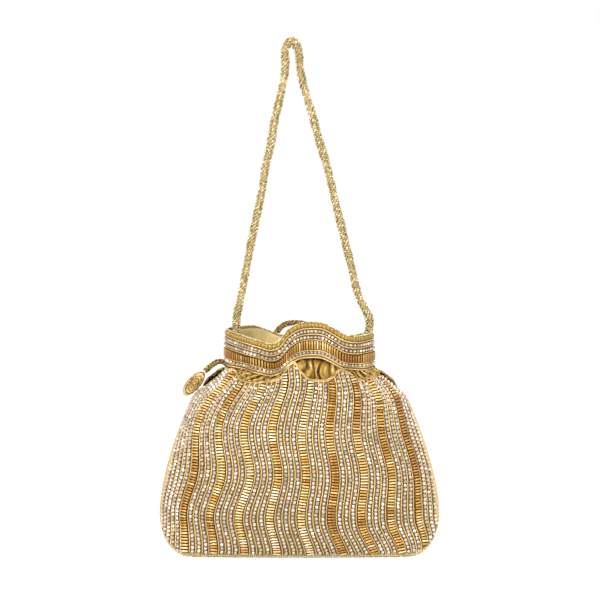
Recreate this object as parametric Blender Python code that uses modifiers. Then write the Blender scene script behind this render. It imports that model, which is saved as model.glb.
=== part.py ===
"""Beaded potli bag: a gathered drawstring pouch with a waved beaded collar and a twisted rope handle.

Metres, +Z up. The origin is the centre of the flattened base, the front faces -Y.
"""

import math

import bmesh
import bpy
import numpy
from mathutils import Matrix, Vector

# Pouch body: widths run from side seam to side seam, depths from front to back.
BASE_WIDTH = 0.176
BASE_DEPTH = 0.050
BODY_WIDTH = 0.234
BODY_DEPTH = 0.080
BELLY_HEIGHT = 0.032
FULLEST_HEIGHT = 0.045
SHOULDER_WIDTH = 0.180
SHOULDER_DROP = 0.027
NECK_WIDTH = 0.122
NECK_DEPTH = 0.050
NECK_HEIGHT = 0.156
PANEL_WALL = 0.0014
SECTION_POWER = 2.2
SECTION_ROUND = 0.56
SIDE_FULLNESS = 1.6

# Gathers: soft pleats that deepen from the shoulder to the drawn neck.
GATHER_DEPTH = 0.0040
GATHER_REACH = 0.063
GATHERS_FRONT = 4.5
GATHERS_BACK = 4.0

# The panels end below the neck. The front's top edge is pulled up into two points, the back's into one.
FRONT_PANEL_DROP = 0.0065
BACK_PANEL_DROP = 0.0140
PANEL_END_DROP = 0.0042
FRONT_POINTS = ((-0.0045, 0.0160, 0.0080), (0.0360, 0.0095, 0.0090))
BACK_POINTS = ((0.0120, 0.0060, 0.0100),)

# Bugle ladders: raised bands that snake up each panel.
LADDERS = 9
LADDER_ROOM = 10.48
LADDER_SHIFT = 0.0038
LADDER_WIDTH = 0.0064
LADDER_RELIEF = 0.0009
SNAKE_SWING = 0.0045
SNAKE_LENGTH = 0.077
SNAKE_LEFT_AT = 0.1105

# Seam piping
PIPING_DIAMETER = 0.0022
PIPING_DROP = 0.010
CORNER_ROOM = 1.9

# Casing: the satin tunnel round the neck
CASING_DROP = 0.0158
CASING_WALL = 0.0007
CASING_TUCK = 0.004
CASING_SLIT = 0.0095

# Collar: the stiff beaded band above the casing
COLLAR_HEIGHT = 0.027
COLLAR_LIFT = 0.003
COLLAR_WALL = 0.0016
COLLAR_FLARE = 0.005
COLLAR_SWING = 0.012
SWING_RISE = 0.028
BACK_SWING = 0.004
COLLAR_RISE = 0.012

# The collar's wave: places across the neck from -1 to 1, with the share of the swing or the rise there.
FRONT_SWINGS = (
    (-1.0, 0.0), (-0.80, 0.60), (-0.52, 1.0), (-0.30, 0.72), (-0.10, -0.25),
    (0.15, -0.80), (0.38, -0.65), (0.60, 0.15), (0.78, 0.45), (1.0, 0.0),
)
BACK_SWINGS = (
    (-1.0, 0.0), (-0.80, 0.50), (-0.55, 1.0), (-0.25, 0.20),
    (0.10, -0.50), (0.60, 0.40), (1.0, 0.0),
)
FRONT_RISES = (
    (-1.0, 0.25), (-0.74, 0.12), (-0.55, -0.05), (-0.36, -0.28), (-0.26, -0.10), (-0.15, 0.52),
    (0.0, 0.92), (0.15, 1.0), (0.32, 0.92), (0.46, 0.60), (0.60, 0.22), (0.78, 0.05), (1.0, 0.0),
)
BACK_RISES = (
    (-1.0, 0.25), (-0.80, 0.18), (-0.56, 0.05), (-0.42, -0.25), (-0.26, -0.52), (0.0, -0.58),
    (0.50, -0.58), (0.80, -0.40), (1.0, 0.0),
)
BUGLE_BAND_LOW = 0.0062
BUGLE_BAND_HEIGHT = 0.0064
RIM_DIAMETER = 0.0016

# Drawstrings, their tabs, the handle
STRING_DIAMETER = 0.0048
LEFT_STRING_DROP = 0.001
RIGHT_STRING_DROP = 0.007
TAIL_REACH = 0.018
BACK_TAIL_RISE = 0.0395
TAB_LENGTH = 0.027
TAB_WIDTH = 0.0125
TAB_THICKNESS = 0.0040
HANDLE_DIAMETER = 0.0070
HANDLE_CREST = 0.4288
# The right drawstring's way over the back: shares of the half neck and of the tail's rise.
BACK_TAIL = (
    (0.92, 0.354), (0.62, 0.633), (0.295, 0.861), (0.0, 1.0),
    (-0.23, 0.937), (-0.36, 0.658), (-0.426, 0.304), (-0.459, -0.05),
)
# The handle's run: shares of its half spread and of the way from its foot to its crest.
HANDLE_RUN = (
    (-1.000, 0.0000), (-1.000, 0.0456), (-1.016, 0.0793), (-1.064, 0.1090), (-1.000, 0.1486),
    (-0.940, 0.1962), (-0.880, 0.2556), (-0.790, 0.3389), (-0.700, 0.4261), (-0.600, 0.5212),
    (-0.550, 0.5886), (-0.470, 0.6599), (-0.400, 0.7392), (-0.320, 0.8105), (-0.250, 0.8740),
    (-0.224, 0.9255), (-0.230, 0.9691), (-0.124, 1.0000), (-0.012, 0.9651), (0.016, 0.9017),
    (0.120, 0.8185), (0.220, 0.7511), (0.330, 0.6718), (0.460, 0.5846), (0.570, 0.4895),
    (0.700, 0.3825), (0.830, 0.2794), (0.950, 0.1803), (1.060, 0.1288), (1.090, 0.0971),
    (1.016, 0.0595), (1.000, 0.0000),
)

# Lining
LINING_WALL = 0.0008
LINING_TOP_DROP = 0.0025
LINING_CORNER = 0.024
LINING_EASE = 0.010

GAP = 0.0003
LOOSE_GAP = 0.0009
FRONT = -1
BACK = 1

COLLECTION = "potli_bag"
ROWS = 18
LINING_COLUMNS = 16
TABLE_STEPS = 161
TRIM_REACH = 8.0

piping_radius = PIPING_DIAMETER / 2
seam_trim = piping_radius + 2 * GAP
piping_lift = piping_radius + GAP
casing_inset = PANEL_WALL + LOOSE_GAP + 1.6 * GAP
string_radius = STRING_DIAMETER / 2
string_inset = casing_inset + CASING_WALL + GATHER_DEPTH + LOOSE_GAP + string_radius
neck_half = NECK_WIDTH / 2
shoulder_height = NECK_HEIGHT - SHOULDER_DROP
gather_start = NECK_HEIGHT - GATHER_REACH
front_edge = NECK_HEIGHT - FRONT_PANEL_DROP
back_edge = NECK_HEIGHT - BACK_PANEL_DROP
piping_top = NECK_HEIGHT - PIPING_DROP
casing_low = NECK_HEIGHT - CASING_DROP
collar_base = NECK_HEIGHT + COLLAR_LIFT
collar_top = collar_base + COLLAR_HEIGHT + COLLAR_RISE
left_string = NECK_HEIGHT - LEFT_STRING_DROP
right_string = NECK_HEIGHT - RIGHT_STRING_DROP
drawn_low = right_string - string_radius - LOOSE_GAP
drawn_high = left_string + string_radius + LOOSE_GAP
lining_room = COLLAR_WALL + 4 * LOOSE_GAP
handle_spread = neck_half - lining_room - LINING_WALL - HANDLE_DIAMETER / 2 - 2.4 * LOOSE_GAP
handle_foot = collar_base + COLLAR_HEIGHT / 2


def smooth(value):
    """Ease from 0 to 1 as the value goes from 0 to 1."""
    value = min(max(value, 0.0), 1.0)
    return value * value * (3.0 - 2.0 * value)


def corner(share):
    """Quarter ellipse from 0 to 1."""
    share = min(max(share, 0.0), 1.0)
    return math.sqrt(1.0 - (1.0 - share) ** 2)


def half_width(z):
    """Half the bag's width at a height: round corner, full side, shoulder, neck."""
    base, belly, shoulder, neck = (w / 2 for w in (BASE_WIDTH, BODY_WIDTH, SHOULDER_WIDTH, NECK_WIDTH))
    if z <= BELLY_HEIGHT:
        return base + (belly - base) * corner(z / BELLY_HEIGHT)
    side = shoulder_height - BELLY_HEIGHT
    if z <= shoulder_height:
        return belly - (belly - shoulder) * ((z - BELLY_HEIGHT) / side) ** SIDE_FULLNESS
    if z >= NECK_HEIGHT:
        return neck
    run = NECK_HEIGHT - shoulder_height
    share = (z - shoulder_height) / run
    start_slope = -SIDE_FULLNESS * (belly - shoulder) / side * run
    end_slope = -(shoulder - neck) / 2
    return (
        shoulder * (2 * share**3 - 3 * share**2 + 1)
        + start_slope * (share**3 - 2 * share**2 + share)
        + neck * (3 * share**2 - 2 * share**3)
        + end_slope * (share**3 - share**2)
    )


def half_depth(z):
    """Half the bag's depth at a height, measured at its middle."""
    base, full, neck = (d / 2 for d in (BASE_DEPTH, BODY_DEPTH, NECK_DEPTH))
    if z <= FULLEST_HEIGHT:
        return base + (full - base) * corner(z / FULLEST_HEIGHT)
    if z <= NECK_HEIGHT:
        share = (z - FULLEST_HEIGHT) / (NECK_HEIGHT - FULLEST_HEIGHT)
        return full - (full - neck) * share**1.8
    return neck + COLLAR_FLARE * smooth((z - NECK_HEIGHT) / (collar_top - NECK_HEIGHT))


def seam_y(z):
    """The side seam's depth: at the front edge of the base, then in the middle of the side."""
    return -BASE_DEPTH / 2 * (1.0 - smooth(z / BELLY_HEIGHT))


def section_y(side, x, z, inset=0.0):
    """Depth of the smooth section at a point across it, front or back."""
    share = min(abs(x) / (half_width(z) - inset), 1.0)
    middle = side * (half_depth(z) - inset)
    seam = seam_y(z) * (1.0 - 2.0 * inset / BASE_DEPTH)
    return seam + (middle - seam) * (1.0 - share**SECTION_POWER) ** SECTION_ROUND


section_tables = {}


def section_table(side, z):
    """Places across the section and the cloth length from its middle to each."""
    key = (side, round(z, 7))
    if key not in section_tables:
        angles = numpy.linspace(-math.pi / 2, math.pi / 2, TABLE_STEPS)
        across = half_width(z) * numpy.sin(angles)
        depth = numpy.array([section_y(side, x, z) for x in across])
        steps = numpy.hypot(numpy.diff(across), numpy.diff(depth))
        along = numpy.concatenate(([0.0], numpy.cumsum(steps)))
        section_tables[key] = (across, along - along[-1] / 2)
    return section_tables[key]


def cloth_half(side, z):
    """Half the cloth's length across the section."""
    return section_table(side, z)[1][-1]


full_half = {side: cloth_half(side, FULLEST_HEIGHT) for side in (FRONT, BACK)}
ladder_spacing = 2 * full_half[FRONT] / LADDER_ROOM


def ladder_middle(number):
    """Flat coordinate of a ladder's middle line; the rows of ladders sit a little to the right."""
    return (number - (LADDERS - 1) / 2) * ladder_spacing + LADDER_SHIFT


def snake(z):
    """Sideways swing of the ladders at a height."""
    return -SNAKE_SWING * math.cos(2 * math.pi * (z - SNAKE_LEFT_AT) / SNAKE_LENGTH)


def gather(side, share, z):
    """Outward swing of the pleats at a share of the way across."""
    rise = smooth((z - gather_start) / (front_edge - gather_start)) ** 1.5
    fade = 1.0 - smooth((z - NECK_HEIGHT) / (COLLAR_LIFT + COLLAR_HEIGHT / 2))
    count = GATHERS_FRONT if side == FRONT else GATHERS_BACK
    return GATHER_DEPTH * rise * fade * math.cos(math.pi * count * share + 0.6)


def through(knots, place):
    """Value of a smooth curve through the knots (place, value)."""
    places = [knot[0] for knot in knots]
    values = [knot[1] for knot in knots]
    place = min(max(place, places[0]), places[-1])
    n = min(max(sum(p <= place for p in places) - 1, 0), len(knots) - 2)
    slopes = numpy.gradient(values, places)
    run = places[n + 1] - places[n]
    t = (place - places[n]) / run
    return float(
        values[n] * (2 * t**3 - 3 * t**2 + 1)
        + slopes[n] * run * (t**3 - 2 * t**2 + t)
        + values[n + 1] * (3 * t**2 - 2 * t**3)
        + slopes[n + 1] * run * (t**3 - t**2)
    )


def collar_swing(side, x, z):
    """Outward swing of the collar's wave, which grows above the neck."""
    reach = COLLAR_SWING if side == FRONT else BACK_SWING
    swings = FRONT_SWINGS if side == FRONT else BACK_SWINGS
    return reach * through(swings, x / neck_half) * smooth((z - NECK_HEIGHT) / SWING_RISE)


def surface(side, across, z, pleated, trim, shift=0.0):
    """Point of the cloth's outer face from its flat coordinate and its height."""
    places, along = section_table(side, z)
    half = along[-1]
    share = max(-1.0, min(1.0, across / full_half[side]))
    ease = max(1.0, (full_half[side] / half) ** 0.5)
    length = half * share * (ease + (1.0 - ease) * share**2)
    length += snake(z) * (1.0 - share**4)
    length = max(-half, min(half, length))
    if trim > 0.0:
        # The cloth ends short of the seam, and its outer columns close up to make that room.
        reach = min(TRIM_REACH, 0.6 * half / trim - 1.0)
        length *= 1.0 - trim / half * abs(length / half) ** reach
    length += shift
    x = float(numpy.interp(length, along, places))
    edge = 1.0 - (abs(x) / half_width(z)) ** 8
    swing = collar_swing(side, x, z)
    if pleated:
        swing += gather(side, length / half, z)
    return Vector((x, section_y(side, x, z) + side * swing * edge, z))


def cloth_point(side, across, z, lift=0.0, pleated=True, trim=0.0):
    """Point of the cloth, lifted off its outer face along the outward normal."""
    point = surface(side, across, z, pleated, trim)
    if lift == 0.0:
        return point
    step = 0.0012
    right = surface(side, across, z, pleated, trim, step)
    left = surface(side, across, z, pleated, trim, -step)
    upper = surface(side, across, z + step, pleated, trim)
    lower = surface(side, across, max(z - step, 0.0), pleated, trim)
    normal = (right - left).cross(upper - lower).normalized() * -side
    return point + normal * lift


def place_across(side, across):
    """Where a flat coordinate comes to lie along the drawn neck."""
    return surface(side, across, front_edge, False, 0.0).x


def panel_top(side, across):
    """Height of the panel's top edge, pulled up into its points and lower at the seams."""
    x = place_across(side, across)
    points = FRONT_POINTS if side == FRONT else BACK_POINTS
    rise = sum(rise * math.exp(-(((x - at) / wide) ** 2)) for at, rise, wide in points)
    edge = front_edge if side == FRONT else back_edge
    return edge + rise - PANEL_END_DROP * min(abs(x) / neck_half, 1.0) ** 6


def collar_bottom(side, x):
    """Height of the collar's lower edge along its wave."""
    return collar_base + COLLAR_RISE * through(FRONT_RISES if side == FRONT else BACK_RISES, x / neck_half)


def panel_columns(side):
    """Flat coordinates of the panel's columns: both edges of each ladder and the middles between."""
    middles = [ladder_middle(n) for n in range(LADDERS)]
    columns = [-full_half[side], (middles[0] - full_half[side]) / 2]
    for middle in middles:
        columns += [middle - LADDER_WIDTH / 2, middle + LADDER_WIDTH / 2, middle + ladder_spacing / 2]
    columns[-1] = (middles[-1] + full_half[side]) / 2
    return columns + [full_half[side]]


def row_height(side, across, share, low):
    """Height of a panel's row: even rows, with the topmost ones following the top edge."""
    top = panel_top(side, across)
    edge = front_edge if side == FRONT else back_edge
    return low + (edge - low) * share**1.25 + (top - edge) * share**8


def wall(name, grid, thickness, outward, colour, roughness, metallic):
    """Sheet of cloth or beadwork from a grid of its outer points, given its wall by Solidify."""
    mesh = bmesh.new()
    rows = [[mesh.verts.new(point) for point in row] for row in grid]
    for low, high in zip(rows, rows[1:]):
        for n in range(len(low) - 1):
            mesh.faces.new((low[n], low[n + 1], high[n + 1], high[n]))
    return finish_wall(name, mesh, thickness, outward, colour, roughness, metallic)


def finish_wall(name, mesh, thickness, outward, colour, roughness, metallic):
    """Turn an open surface into a named solid with a wall."""
    data = bpy.data.meshes.new(name)
    mesh.to_mesh(data)
    mesh.free()
    data.shade_smooth()
    piece = add_piece(name, data, colour, roughness, metallic)
    shell = piece.modifiers.new("wall", "SOLIDIFY")
    shell.thickness = thickness
    shell.offset = 1.0 if outward else -1.0
    shell.use_even_offset = False
    return piece


def add_piece(name, data, colour, roughness, metallic):
    """Object in the bag's collection with a Principled material of its own."""
    piece = bpy.data.objects.new(name, data)
    bag.objects.link(piece)
    material = bpy.data.materials.new(name)
    material.use_nodes = True
    shader = material.node_tree.nodes["Principled BSDF"]
    shader.inputs["Base Color"].default_value = (*colour, 1.0)
    shader.inputs["Roughness"].default_value = roughness
    shader.inputs["Metallic"].default_value = metallic
    data.materials.append(material)
    return piece


def tube(name, points, diameter, colour, roughness, metallic, closed=False):
    """Round cord along a run of points."""
    data = bpy.data.curves.new(name, "CURVE")
    data.dimensions = "3D"
    data.bevel_depth = diameter / 2
    data.bevel_resolution = 2
    data.use_fill_caps = True
    line = data.splines.new("POLY")
    line.points.add(len(points) - 1)
    for place, point in zip(line.points, points):
        place.co = (*point, 1.0)
    line.use_cyclic_u = closed
    return add_piece(name, data, colour, roughness, metallic)


def smooth_run(knots, spacing):
    """Points at an even spacing on a smooth curve through the knots."""
    knots = [Vector(knot) for knot in knots]
    ends = [knots[0] * 2 - knots[1]] + knots + [knots[-1] * 2 - knots[-2]]
    fine = []
    for before, start, stop, after in zip(ends, ends[1:], ends[2:], ends[3:]):
        for step in range(24):
            t = step / 24
            fine.append(
                0.5
                * (
                    2 * start
                    + (stop - before) * t
                    + (2 * before - 5 * start + 4 * stop - after) * t**2
                    + (3 * start - before - 3 * stop + after) * t**3
                )
            )
    fine.append(knots[-1])
    along = numpy.cumsum([0.0] + [(b - a).length for a, b in zip(fine, fine[1:])])
    marks = numpy.linspace(0.0, along[-1], max(2, round(along[-1] / spacing) + 1))
    axes = [numpy.interp(marks, along, [point[axis] for point in fine]) for axis in range(3)]
    return [Vector(place) for place in zip(*axes)]


BEADED_CLOTH = ((0.62, 0.50, 0.32), 0.45, 0.35)
BUGLE_GLASS = ((0.62, 0.38, 0.08), 0.22, 0.85)
SATIN = ((0.60, 0.42, 0.12), 0.42, 0.25)
BROCADE = ((0.66, 0.55, 0.33), 0.55, 0.20)
PALE_BEADS = ((0.66, 0.56, 0.33), 0.35, 0.55)
ANTIQUE_BEADS = ((0.34, 0.24, 0.09), 0.40, 0.60)
GOLD_THREAD = ((0.70, 0.52, 0.20), 0.35, 0.80)


def corner_trim(side, z):
    """Room left beside the piping: it grows round the bottom corner, where the piping runs aslant."""
    room = seam_trim * (1.0 + CORNER_ROOM * (1.0 - smooth(z / BELLY_HEIGHT)))
    if side == BACK:
        return room
    return room + max(half_width(z) - half_width(max(z - piping_lift - seam_trim, 0.0)), 0.0)


def make_panel(side, name):
    """Beaded panel; the back one runs on under the bag as its base."""
    low = PIPING_DIAMETER + 2 * GAP if side == FRONT else 0.0
    columns = panel_columns(side)
    grid = []
    if side == BACK:
        # The base is flat, from just behind the piping to the back panel's lowest row.
        back_row = [cloth_point(side, across, 0.0, trim=corner_trim(side, 0.0)) for across in columns]
        front_edge = -BASE_DEPTH / 2 + seam_trim
        for share in (0.0, 1 / 3, 2 / 3):
            grid.append([Vector((p.x, front_edge + (p.y - front_edge) * share, 0.0)) for p in back_row])
    for row in range(ROWS + 1):
        heights = [row_height(side, across, row / ROWS, low) for across in columns]
        grid.append([cloth_point(side, a, z, trim=corner_trim(side, z)) for a, z in zip(columns, heights)])
    if side == BACK:
        grid = [row[::-1] for row in grid]
    return wall(name, grid, PANEL_WALL, False, *BEADED_CLOTH)


def make_ladders(side, name):
    """Nine raised bands of bugle beads on a panel."""
    low = PIPING_DIAMETER + 2 * GAP if side == FRONT else 0.0
    for number in range(LADDERS):
        middle = ladder_middle(number)
        edges = [middle - LADDER_WIDTH / 2, middle + LADDER_WIDTH / 2]
        grid = []
        for row in range(1, ROWS + 1):
            heights = [row_height(side, across, row / ROWS, low) for across in edges]
            places = zip(edges, heights)
            grid.append([cloth_point(side, a, z, GAP, trim=corner_trim(side, z)) for a, z in places])
        if side == BACK:
            grid = [row[::-1] for row in grid]
        wall(f"{name}_{number + 1}", grid, LADDER_RELIEF, True, *BUGLE_GLASS)


def make_piping():
    """Gold piping in the seam: down one side, round the bottom and up the other."""
    side_run = []
    steps = 22
    for step in range(steps):
        z = piping_top * (1.0 - step / steps) ** 1.6
        side_run.append(Vector((half_width(z), seam_y(z), z + piping_lift * (1.0 - z / piping_top))))
    bottom = [Vector((BASE_WIDTH / 2 * (1.0 - n / 4), -BASE_DEPTH / 2, piping_lift)) for n in range(8)]
    left_run = [Vector((-point.x, point.y, point.z)) for point in side_run[::-1]]
    tube("seam_piping", side_run + bottom + left_run, PIPING_DIAMETER, *GOLD_THREAD)


def collar_grid(side, heights, lift, trim):
    """Grid of the collar's wave at heights above its lower edge."""
    grid = []
    for height in heights:
        row = []
        for across in panel_columns(side):
            x = cloth_point(side, across, collar_base, trim=trim).x
            row.append(cloth_point(side, across, collar_bottom(side, x) + height, lift, trim=trim))
        grid.append(row if side == FRONT else row[::-1])
    return grid


def make_collar(side, name):
    """Half of the beaded collar with its bugle row and its beaded rim."""
    band = (BUGLE_BAND_LOW, BUGLE_BAND_LOW + BUGLE_BAND_HEIGHT)
    heights = (0.0, *band, (band[1] + COLLAR_HEIGHT) / 2, COLLAR_HEIGHT)
    wall(f"collar_{name}", collar_grid(side, heights, 0.0, LOOSE_GAP), COLLAR_WALL, False, *BEADED_CLOTH)
    wall(
        f"collar_bugles_{name}",
        collar_grid(side, band, LOOSE_GAP, LADDER_WIDTH / 2),
        LADDER_RELIEF,
        True,
        *BUGLE_GLASS,
    )
    rim_height = COLLAR_HEIGHT + RIM_DIAMETER / 2 + 2.5 * GAP
    rim = collar_grid(side, (rim_height,), -COLLAR_WALL / 2, RIM_DIAMETER)[0]
    tube(f"collar_rim_{name}", rim, RIM_DIAMETER, *PALE_BEADS)


def make_casing(side, name):
    """Half of the satin tunnel that the drawstrings run in, tucked under panel and collar."""
    grid = []
    for share in (0.0, 1 / 3, 2 / 3, 1.0, None):
        row = []
        for across in panel_columns(side):
            edge = collar_bottom(side, cloth_point(side, across, collar_base).x)
            z = edge + CASING_TUCK if share is None else casing_low + (edge - casing_low) * share
            row.append(cloth_point(side, across, z, -casing_inset, trim=CASING_SLIT / 2))
        grid.append(row if side == FRONT else row[::-1])
    wall(f"casing_{name}", grid, CASING_WALL, False, *SATIN)


def lining_inset(z):
    """How far inside the outer cloth the lining hangs: it clears the pleats and the drawstrings."""
    pleats = GATHER_DEPTH * smooth((z - gather_start) / (front_edge - gather_start))
    pleats *= 1.0 - smooth((z - NECK_HEIGHT) / (COLLAR_LIFT + COLLAR_HEIGHT / 2))
    plain = lining_room + pleats
    if z < LINING_CORNER:
        return plain + LINING_CORNER / 2 * (1.0 - smooth(z / LINING_CORNER))
    drawn = string_inset + string_radius + 2 * LOOSE_GAP
    bulge = smooth((z - drawn_low) / LINING_EASE + 1.0) * (1.0 - smooth((z - drawn_high) / LINING_EASE))
    return plain + (drawn - plain) * bulge


def make_lining():
    """Brocade lining: one bag inside the panels, up to the collar's rim."""
    mesh = bmesh.new()
    floor = PANEL_WALL + GAP
    body = numpy.linspace(LINING_CORNER, drawn_low - LINING_EASE, 6)
    drawn = numpy.linspace(drawn_low, drawn_high, 3)
    levels = [floor, LINING_CORNER / 3, *body, *drawn]
    levels += [drawn_high + LINING_EASE / 2, drawn_high + LINING_EASE]
    rings = []
    for level in levels + ["low facing", "facing", "rim"]:
        ring = []
        for side in (FRONT, BACK):
            for n in range(LINING_COLUMNS):
                across = math.sin(math.pi * (n / LINING_COLUMNS - 0.5)) * full_half[side] * -side
                top = collar_bottom(side, place_across(side, across)) + COLLAR_HEIGHT - LINING_TOP_DROP
                facing = (top - levels[-1]) / 3
                z = {"low facing": top - 2 * facing, "facing": top - facing, "rim": top}.get(level, level)
                inset = lining_inset(z)
                point = surface(side, across, z, False, 0.0)
                scale = 1.0 - inset / half_width(z)
                depth = section_y(side, point.x * scale, z, inset) - section_y(side, point.x, z)
                ring.append(mesh.verts.new((point.x * scale, point.y + depth, z)))
        rings.append(ring)
    count = 2 * LINING_COLUMNS
    for low, high in zip(rings, rings[1:]):
        for n in range(count):
            mesh.faces.new((low[n], low[(n + 1) % count], high[(n + 1) % count], high[n]))
    mesh.faces.new(rings[0][::-1])
    finish_wall("lining", mesh, LINING_WALL, False, *BROCADE)


def string_loop(height, start, stop):
    """The drawstring's run inside the casing, from one angle to another round the neck."""
    points = []
    for angle in numpy.linspace(start, stop, 40):
        x = (half_width(height) - string_inset) * math.cos(angle)
        side = FRONT if math.sin(angle) < 0 else BACK
        points.append(Vector((x, section_y(side, x, height, string_inset), height)))
    return points


def on_back(x, z):
    """Point where a string lies on the back of the bag."""
    y = section_y(BACK, x, z) + collar_swing(BACK, x, z) + string_radius + 3 * LOOSE_GAP + LADDER_RELIEF
    return Vector((x, y + GATHER_DEPTH * (1.0 - smooth((z - NECK_HEIGHT) / 0.010)), z))


def make_strings():
    """Two beaded drawstrings: each runs round the neck and leaves at its own side."""
    z = left_string
    run = string_loop(z, math.radians(-155), math.radians(166))
    shares = ((-0.28, 0.0, 0.0), (0.14, 0.0, 0.055), (0.50, -0.055, 0.22), (1.0, -0.22, -0.055))
    tail = [Vector((-neck_half - TAIL_REACH * a, TAIL_REACH * b, z + TAIL_REACH * c)) for a, b, c in shares]
    route = run[:-1] + smooth_run([run[-1]] + tail, STRING_DIAMETER)
    tube("drawstring_left", route, STRING_DIAMETER, *ANTIQUE_BEADS)
    make_tab("tab_left", tail[-1], Vector((-0.65, -0.036, -0.76)), Vector((0.25, -1.0, 0.1)))

    z = right_string
    run = string_loop(z, math.radians(-25), math.radians(-346))
    shares = ((0.0, 0.0, 0.0), (0.50, 0.0, 0.055), (0.72, 0.39, 0.33))
    tail = [Vector((neck_half + TAIL_REACH * a, TAIL_REACH * b, z + TAIL_REACH * c)) for a, b, c in shares]
    tail += [on_back(neck_half * a, z + BACK_TAIL_RISE * b) for a, b in BACK_TAIL]
    route = run[:-1] + smooth_run([run[-1]] + tail, STRING_DIAMETER)
    tube("drawstring_right", route, STRING_DIAMETER, *ANTIQUE_BEADS)
    make_tab("tab_right", tail[-1], Vector((-0.07, 0.30, -0.95)), Vector((0.0, 1.0, 0.3)))


def make_tab(name, start, along, facing):
    """Flat oval end tab of a drawstring, coiled from fine beaded thread."""
    along = along.normalized()
    across = along.cross(facing).normalized()
    facing = across.cross(along)
    mesh = bmesh.new()
    bmesh.ops.create_uvsphere(mesh, u_segments=20, v_segments=8, radius=0.5)
    size = Matrix.Diagonal((TAB_WIDTH, TAB_LENGTH, TAB_THICKNESS, 1.0))
    middle = start + along * (GAP + TAB_LENGTH / 2)
    turn = Matrix((across, along, facing)).transposed().to_4x4()
    bmesh.ops.transform(mesh, matrix=Matrix.Translation(middle) @ turn @ size, verts=mesh.verts)
    data = bpy.data.meshes.new(name)
    mesh.to_mesh(data)
    mesh.free()
    data.shade_smooth()
    add_piece(name, data, *PALE_BEADS)


def make_handle():
    """Rope handle of twisted bead strands, sewn inside the collar at both side seams."""
    rise = HANDLE_CREST - handle_foot
    knots = [(handle_spread * across, 0.0, handle_foot + rise * up) for across, up in HANDLE_RUN]
    tube("handle_rope", smooth_run(knots, HANDLE_DIAMETER), HANDLE_DIAMETER, *PALE_BEADS)


for old in list(bpy.data.objects):
    bpy.data.objects.remove(old)
bag = bpy.data.collections.new(COLLECTION)
bpy.context.scene.collection.children.link(bag)

make_panel(FRONT, "front_panel")
make_panel(BACK, "back_panel")
make_ladders(FRONT, "front_bugle_column")
make_ladders(BACK, "back_bugle_column")
make_piping()
make_lining()
for half, half_name in ((FRONT, "front"), (BACK, "back")):
    make_casing(half, half_name)
    make_collar(half, half_name)
make_strings()
make_handle()
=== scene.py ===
import math

import bmesh
import bpy
import numpy as np
from mathutils import Matrix, Vector


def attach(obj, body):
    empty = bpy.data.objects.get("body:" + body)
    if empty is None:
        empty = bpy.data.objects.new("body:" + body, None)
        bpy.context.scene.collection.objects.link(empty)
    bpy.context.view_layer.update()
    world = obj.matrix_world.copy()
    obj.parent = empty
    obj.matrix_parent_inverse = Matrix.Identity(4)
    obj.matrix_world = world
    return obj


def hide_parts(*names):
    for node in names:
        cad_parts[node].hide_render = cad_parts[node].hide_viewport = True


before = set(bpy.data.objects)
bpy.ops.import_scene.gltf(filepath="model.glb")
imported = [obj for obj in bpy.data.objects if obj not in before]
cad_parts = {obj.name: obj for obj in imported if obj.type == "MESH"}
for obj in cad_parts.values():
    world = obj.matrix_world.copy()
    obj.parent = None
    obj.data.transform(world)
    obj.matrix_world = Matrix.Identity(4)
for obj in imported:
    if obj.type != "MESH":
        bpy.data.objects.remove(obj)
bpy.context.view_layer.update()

print("potli bag: frame loaded")

# The studio: everything the picture needs that is not the bag
studio = {
    "cameraDistance": 2.0,
    "elevationDeg": 9.0,
    "lookAt": (0.0005, 0.0, 0.2135),
    "lensMm": 144.2,
    "floorSize": 6.0,
    "keyPower": 26.0,
    "fillPower": 9.0,
    "topPower": 10.0,
    "worldLight": 0.5,
    "paperGlow": 0.9,
    "paperShade": 0.24,
}

# The bag's shape, in metres, as its solids have it
bag = {
    "baseWidth": 0.176, "baseDepth": 0.050,
    "bodyWidth": 0.234, "bodyDepth": 0.080,
    "bellyHeight": 0.032, "fullestHeight": 0.045,
    "shoulderWidth": 0.180, "shoulderHeight": 0.129,
    "neckWidth": 0.122, "neckDepth": 0.050, "neckHeight": 0.156,
    "sectionPower": 2.2, "sectionRound": 0.56, "sideFullness": 1.6,
    "gatherDepth": 0.0040, "gatherStart": 0.093, "gathers": {-1: 4.5, 1: 4.0},
    "panelEdge": {-1: 0.1502, 1: 0.142}, "panelEndDrop": 0.0042,
    "points": {-1: ((-0.0045, 0.0160, 0.0080), (0.0360, 0.0095, 0.0090)), 1: ((0.0120, 0.0060, 0.0100),)},
    "endRise": {-1: 0.0112, 1: 0.0052},
    "collarHeight": 0.0292, "collarBase": 0.1562, "collarFlare": 0.005,
    "collarSwing": {-1: 0.012, 1: 0.004}, "swingRise": 0.028, "collarRise": 0.012,
    # the ladders are calmer from here across the front, over this width, and stop this far short of the seam
    "calmFrom": -0.050, "calmWidth": 0.060, "cutEdge": 0.0036,
}
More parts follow.
